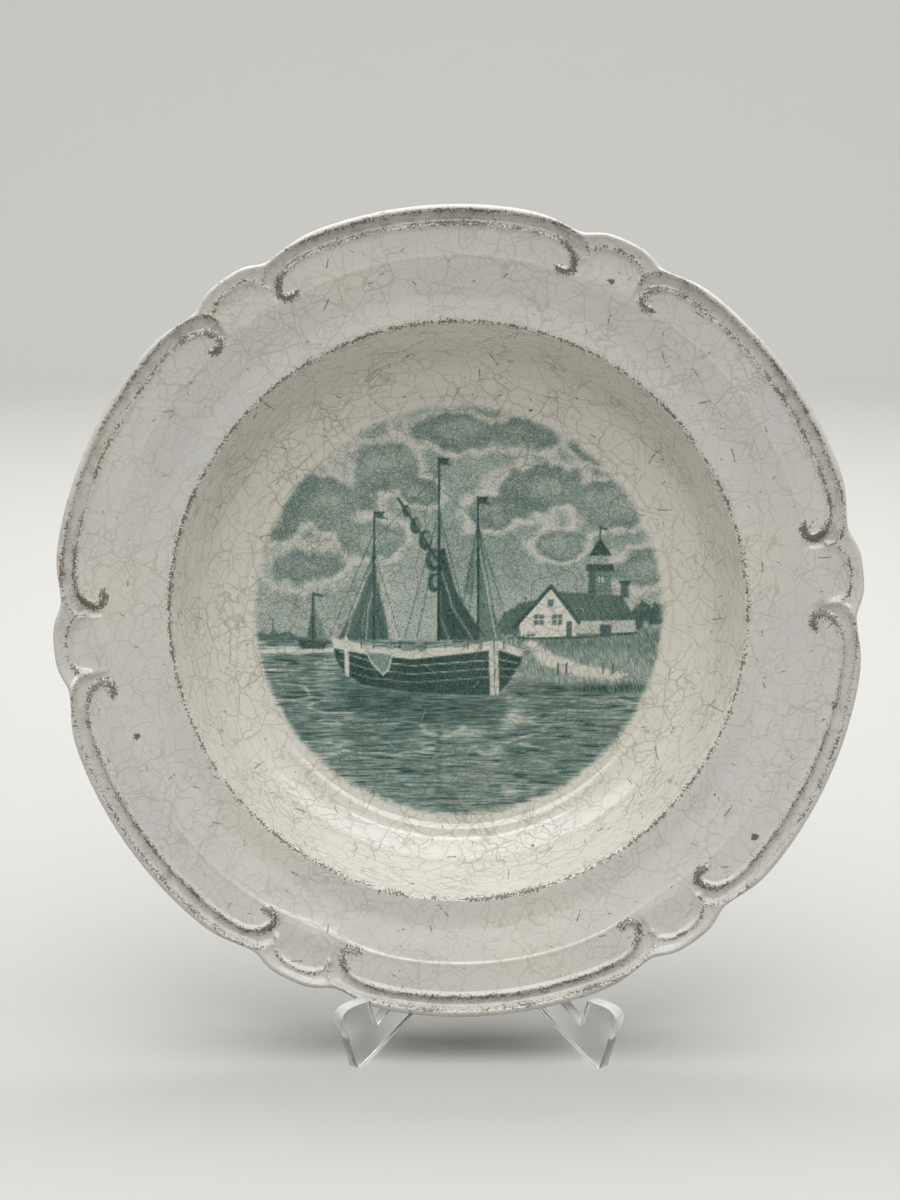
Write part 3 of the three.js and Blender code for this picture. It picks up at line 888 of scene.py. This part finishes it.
    # deck gear
    for dx, dy, w, h in (
        (-17.6, -12.6, 4.2, 2.4), (-12.4, -12.8, 2.2, 1.6), (-1.8, -11.6, 5.0, 1.9), (-22.0, -12.0, 2.2, 1.8),
    ):
        art.area([(dx, dy), (dx, dy + h), (dx + w, dy + h), (dx + w, dy)], 0.55)
        art.stroke([(dx, dy + h), (dx + w, dy + h)], 0.4, 0.92)
    for px in (-30, -26, -18, -10, -4, 3, 7, 14):
        art.stroke([(px, -11.8), (px, -9.6)], 0.4, 0.85)
    art.stroke([(-33.0, -9.4), (-18.0, -10.6), (-4.0, -10.2), (14.0, -9.0)], 0.3, 0.7)
    # reflection
    mirrored = [
        (-37, -19.0), (-29, -23.4), (-14, -25.6), (4, -26.4), (13, -26.2), (16.0, -30), (12, -38), (4, -34),
        (-14, -36), (-30, -32), (-37, -27),
    ]
    mirror = art.shape(mirrored, 1.6)
    below = art.shape(hull, 0.3)
    art.paint(mirror * (1 - below) * 0.75, 0.86)
    art.water = np.maximum(art.water, mirror * (1 - below))
    sway = art.x + 6.0 + 0.4 * np.sin(art.y * 1.7)
    mast = np.exp(-(sway**2)) * rise(-art.y, 27, 30) * (1 - rise(-art.y, 50, 58))
    art.paint(mast * 0.6, 0.85)


def finish_print(art):
    """Fades the drawing out at its ragged round edge."""
    ragged = art.cloudy(1.8, 6.7, 1.0, 3)
    away = np.hypot(art.x, art.y) + ragged * 0.28 + 0.25 * art.cloudy(14.0, 4.4, 1.0, 1)
    inside = 1 - rise(away, art.radius - 2.9, art.radius + 0.5)
    weak = art.cloudy(20.0, 1.3, 1.0, 2)
    art.tone = np.clip(art.tone * (0.97 + 0.08 * weak), 0, 1) * inside
    return art


def printed_scene(shader, settings, point, base, lines):
    """Lays the ink under the glaze: stipple in the sky, strokes in grass and sails, level cuts in the water."""
    tone = shader.attribute("ink_tone")
    water = shader.attribute("ink_water")
    grass = shader.attribute("ink_stroke")
    x, y, _ = point.parts()
    dots = (shader.noise(point, 0.34, detail=1.0, rough=0.6) - 0.5) * 2.6
    level = (shader.noise(shader.combine(x * 0.11, y * 1.15, 0.0), 0.8, detail=2.0, rough=0.65) - 0.5) * 3.2
    upright = (shader.noise(shader.combine(x * 1.6 + y * 0.4, y * 0.26, 3.0), 0.75, detail=2.0, rough=0.6) - 0.5) * 3.0
    texture = dots * (1.0 - water * 0.7) * (1.0 - grass * 0.6) * 0.31 + level * water * 0.30 + upright * grass * 0.26
    ink = (tone + texture * (tone * 5.0).min(1.0)).max(0.0).min(1.0) ** 1.9
    stops = [(m, (*(c**m for c in settings.ink), 1.0)) for m in (0.0, 0.2, 0.4, 0.6, 0.8, 1.0)]
    film = shader.add("ShaderNodeValToRGB", (ink,), out="Color", stops=stops)
    base = shader.colour_mix(1.0, base, film, blend="MULTIPLY")
    return shader.colour_mix(lines * ink.step(0.1, 0.5) * 0.22, base, (0.33, 0.34, 0.30))


def build_printed_floor(plate, settings):
    """The floor of the well, flush with the body round it: a grid drawn out to a disc, and its underside."""
    bm = bmesh.new()
    n = settings.cells
    bmesh.ops.create_grid(bm, x_segments=n, y_segments=n, size=1.0)
    radius = plate.floor_radius / MM - 0.004
    co = np.array([v.co[:] for v in bm.verts])
    u, w = co[:, 0], co[:, 1]
    x = u * np.sqrt(np.maximum(0, 1 - w * w / 2)) * radius
    y = w * np.sqrt(np.maximum(0, 1 - u * u / 2)) * radius
    for v, px, py in zip(bm.verts, x, y):
        v.co = (px, py, FLOOR_H)
    art = draw_harbour(x, y, settings.radius / MM)
    layers = [bm.verts.layers.float.new(name) for name in ("ink_tone", "ink_water", "ink_stroke")]
    for v, values in zip(bm.verts, zip(art.tone, art.water, art.grass)):
        for layer, value in zip(layers, values):
            v[layer] = float(value)
    rim = [e for e in bm.edges if e.is_boundary]
    made = bmesh.ops.extrude_edge_only(bm, edges=rim)["geom"]
    low = [g for g in made if isinstance(g, bmesh.types.BMVert)]
    bmesh.ops.translate(bm, verts=low, vec=(0, 0, -0.7))
    bmesh.ops.contextual_create(bm, geom=[g for g in made if isinstance(g, bmesh.types.BMEdge) and g.is_boundary])
    bmesh.ops.recalc_face_normals(bm, faces=bm.faces)
    bmesh.ops.scale(bm, verts=bm.verts, vec=(MM, MM, MM))
    floor = mesh_object("printed_floor", bm, PLACE)
    smooth(floor)
    floor.data.set_sharp_from_angle(angle=math.radians(40))
    return floor


# ---------------------------------------------------------------- the stand
def clear_material(settings, name, edge=False):
    shader = Shader(name)
    place = shader.add("ShaderNodeTexCoord", out="Object")
    shader.feed("Base Color", (*settings.tint, 1.0))
    shader.feed("Transmission Weight", 0.7 if edge else 1.0)
    shader.feed("IOR", 1.49)
    mark = shader.noise(place, 0.012 if not edge else 0.002, detail=3.0)
    shader.feed("Roughness", mark.step(0.55, 0.8) * (0.12 if edge else 0.04) + (0.10 if edge else 0.012))
    fine = shader.noise(place, 0.0012, detail=1.0)
    shader.feed("Normal", shader.bump(fine, 0.00004 if edge else 0.00001, 0.6))
    return shader.material


def build_stand_panel(settings, node):
    """A sheet panel with softened edges, from the frame's panel."""
    bm = bmesh.new()
    bm.from_mesh(frame["nodes"][node].data)
    bmesh.ops.remove_doubles(bm, verts=bm.verts, dist=2e-6)
    bmesh.ops.dissolve_limit(bm, angle_limit=math.radians(0.6), verts=bm.verts, edges=bm.edges)
    bmesh.ops.recalc_face_normals(bm, faces=bm.faces)
    broad = sorted(bm.faces, key=lambda f: f.calc_area())[-2:]
    outline = [e for e in bm.edges if sum(f in broad for f in e.link_faces) == 1]
    bmesh.ops.bevel(
        bm, geom=outline, offset=settings.edge_round, offset_type="OFFSET", segments=2, profile=0.5,
        affect="EDGES", material=-1, clamp_overlap=True,
    )
    big = sorted(bm.faces, key=lambda f: f.calc_area())[-2:]
    normal = big[0].normal.copy()
    for f in bm.faces:
        f.material_index = 0 if abs(f.normal.dot(normal)) > 0.95 else 1
    bmesh.ops.triangulate(bm, faces=[f for f in bm.faces if len(f.verts) > 4])
    panel = mesh_object(node.replace("stand_", "clear_"), bm)
    smooth(panel)
    panel.data.set_sharp_from_angle(angle=math.radians(32))
    # clear sheet lets the light through to what stands behind it
    panel.visible_shadow = False
    return panel


# ---------------------------------------------------------------- operators
def settings_of(context):
    scene = context.scene
    return scene.plate_settings, scene.print_settings, scene.stand_settings, scene.studio_settings


class PLATE_OT_body(bpy.types.Operator):
    """Build the lobed, glazed body of the plate"""

    bl_idname = "souvenir.plate_body"
    bl_label = "Plate Body"

    def execute(self, context):
        plate = settings_of(context)[0]
        body = build_plate_body(plate)
        body.data.materials.append(glaze_material(plate, "crazed_glaze"))
        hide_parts("plate")
        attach(body, "plate")
        return {"FINISHED"}


class PLATE_OT_floor(bpy.types.Operator):
    """Build the floor of the well with its printed harbour"""

    bl_idname = "souvenir.printed_floor"
    bl_label = "Printed Floor"

    def execute(self, context):
        plate, scene_print = settings_of(context)[:2]
        floor = build_printed_floor(plate, scene_print)
        floor.data.materials.append(glaze_material(plate, "printed_glaze", scene_print))
        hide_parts("plate")
        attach(floor, "plate")
        return {"FINISHED"}


class PLATE_OT_stand(bpy.types.Operator):
    """Build the two clear panels of the stand"""

    bl_idname = "souvenir.clear_stand"
    bl_label = "Clear Stand"

    def execute(self, context):
        stand = settings_of(context)[2]
        sheet = clear_material(stand, "clear_sheet")
        cut = clear_material(stand, "clear_cut_edge", edge=True)
        for node, body in (("stand_panel_lower", "lower_panel"), ("stand_panel_upper", "upper_panel")):
            panel = build_stand_panel(stand, node)
            panel.data.materials.append(sheet)
            panel.data.materials.append(cut)
            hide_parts(node)
            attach(panel, body)
        return {"FINISHED"}


class PLATE_OT_studio(bpy.types.Operator):
    """Set up the pale floor, the soft lights and the camera"""

    bl_idname = "souvenir.studio"
    bl_label = "Studio"

    def execute(self, context):
        studio = settings_of(context)[3]
        build_backdrop(studio)
        build_lights()
        build_camera(context.scene, studio)
        context.scene.view_settings.view_transform = "Standard"
        return {"FINISHED"}


# ---------------------------------------------------------------- studio
# metres: where the floor starts to bend up, the radius of the bend, and the top of the wall
FLOOR_END, BEND, WALL_TOP = 1.7, 0.7, 1.6
BEND_STEPS, BACKDROP_STEPS = 16, 144
FRAMED_ASIDE, FRAMED_UP = -0.0025, 0.00296  # where the camera looks, from the middle of the rim


def build_backdrop(settings):
    """A round floor that sweeps up into a wall on every side."""
    bm = bmesh.new()
    turns = [math.pi / 2 * i / BEND_STEPS for i in range(BEND_STEPS + 1)]
    bend = [(FLOOR_END + BEND * math.sin(a), BEND - BEND * math.cos(a)) for a in turns]
    section = [bm.verts.new((r, 0.0, h)) for r, h in ((0.0, 0.0), *bend, (FLOOR_END + BEND, WALL_TOP))]
    edges = [bm.edges.new(pair) for pair in zip(section, section[1:])]
    spin_round(bm, section + edges, BACKDROP_STEPS)
    bmesh.ops.recalc_face_normals(bm, faces=bm.faces)
    # an open bowl may be recalculated to face out, so its floor is made to face up
    if sum(f.normal.z for f in bm.faces if f.calc_center_median().z < 1e-6) < 0:
        bmesh.ops.reverse_faces(bm, faces=bm.faces)
    backdrop = mesh_object("backdrop", bm)
    smooth(backdrop)
    shader = Shader("backdrop_paper")
    place = shader.add("ShaderNodeTexCoord", out="Object")
    tooth = shader.noise(place, 0.004, detail=3.0)
    shade = tuple(c * 0.85 for c in settings.floor)
    shader.feed("Base Color", shader.colour_mix(tooth * 0.06, settings.floor, shade))
    shader.feed("Roughness", 0.85)
    backdrop.data.materials.append(shader.material)


def area_light(name, place, aim, size, power, colour=(1, 1, 1)):
    light = bpy.data.lights.new(name, "AREA")
    light.shape = "ELLIPSE"
    light.size, light.size_y = size
    light.energy = power
    light.color = colour
    made = bpy.data.objects.new(name, light)
    bpy.context.scene.collection.objects.link(made)
    made.location = place
    made.rotation_euler = (Vector(aim) - Vector(place)).to_track_quat("-Z", "Y").to_euler()


def build_lights():
    area_light("overhead_softbox", (0.0, -0.16, 1.30), (0.0, -0.16, 0.0), (2.4, 1.7), 25.5, (0.97, 0.985, 1.0))
    area_light("front_softbox", (0.0, -1.40, 1.45), (0.0, 0.0, 0.12), (1.2, 0.30), 6.2)
    area_light("backdrop_softbox", (0.0, 0.70, 1.50), (0.0, 1.75, 0.45), (2.2, 1.1), 31.5)
    world = bpy.context.scene.world or bpy.data.worlds.new("studio_air")
    bpy.context.scene.world = world
    world.use_nodes = True
    world.node_tree.nodes["Background"].inputs["Color"].default_value = (1.0, 0.985, 0.96, 1.0)
    world.node_tree.nodes["Background"].inputs["Strength"].default_value = 0.37


def build_camera(scene, settings):
    rim = PLACE @ Vector((0, 0, PLATE_H * MM))
    axis = (PLACE.to_3x3() @ Vector((0, 0, 1))).normalized()
    up = (PLACE.to_3x3() @ Vector((0, 1, 0))).normalized()
    data = bpy.data.cameras.new("camera")
    data.sensor_fit = "HORIZONTAL"
    data.angle = settings.field
    data.clip_start = 0.01
    camera = bpy.data.objects.new("camera", data)
    scene.collection.objects.link(camera)
    camera.location = rim + axis * settings.distance
    target = rim + Vector((FRAMED_ASIDE, 0, 0)) + up * FRAMED_UP
    camera.rotation_euler = (target - camera.location).to_track_quat("-Z", "Y").to_euler()
    scene.camera = camera


# ---------------------------------------------------------------- panel and registration
class PLATE_PT_panel(bpy.types.Panel):
    bl_label = "Souvenir Plate"
    bl_idname = "PLATE_PT_panel"
    bl_space_type = "VIEW_3D"
    bl_region_type = "UI"
    bl_category = "Souvenir Plate"

    def draw(self, context):
        operators = (PLATE_OT_body, PLATE_OT_floor, PLATE_OT_stand, PLATE_OT_studio)
        for settings, operator in zip(settings_of(context), operators):
            box = self.layout.box()
            for name in settings.__annotations__:
                box.prop(settings, name)
            box.operator(operator.bl_idname)


CLASSES = (
    PlateSettings, PrintSettings, StandSettings, StudioSettings,
    PLATE_OT_body, PLATE_OT_floor, PLATE_OT_stand, PLATE_OT_studio, PLATE_PT_panel,
)
POINTERS = {
    "plate_settings": PlateSettings, "print_settings": PrintSettings,
    "stand_settings": StandSettings, "studio_settings": StudioSettings,
}


def register():
    for cls in CLASSES:
        bpy.utils.register_class(cls)
    for name, cls in POINTERS.items():
        setattr(bpy.types.Scene, name, PointerProperty(type=cls))


def unregister():
    for name in POINTERS:
        delattr(bpy.types.Scene, name)
    for cls in reversed(CLASSES):
        bpy.utils.unregister_class(cls)


def main():
    register()
    bpy.ops.souvenir.plate_body()
    bpy.ops.souvenir.printed_floor()
    bpy.ops.souvenir.clear_stand()
    bpy.ops.souvenir.studio()


if __name__ == "__main__":
    main()
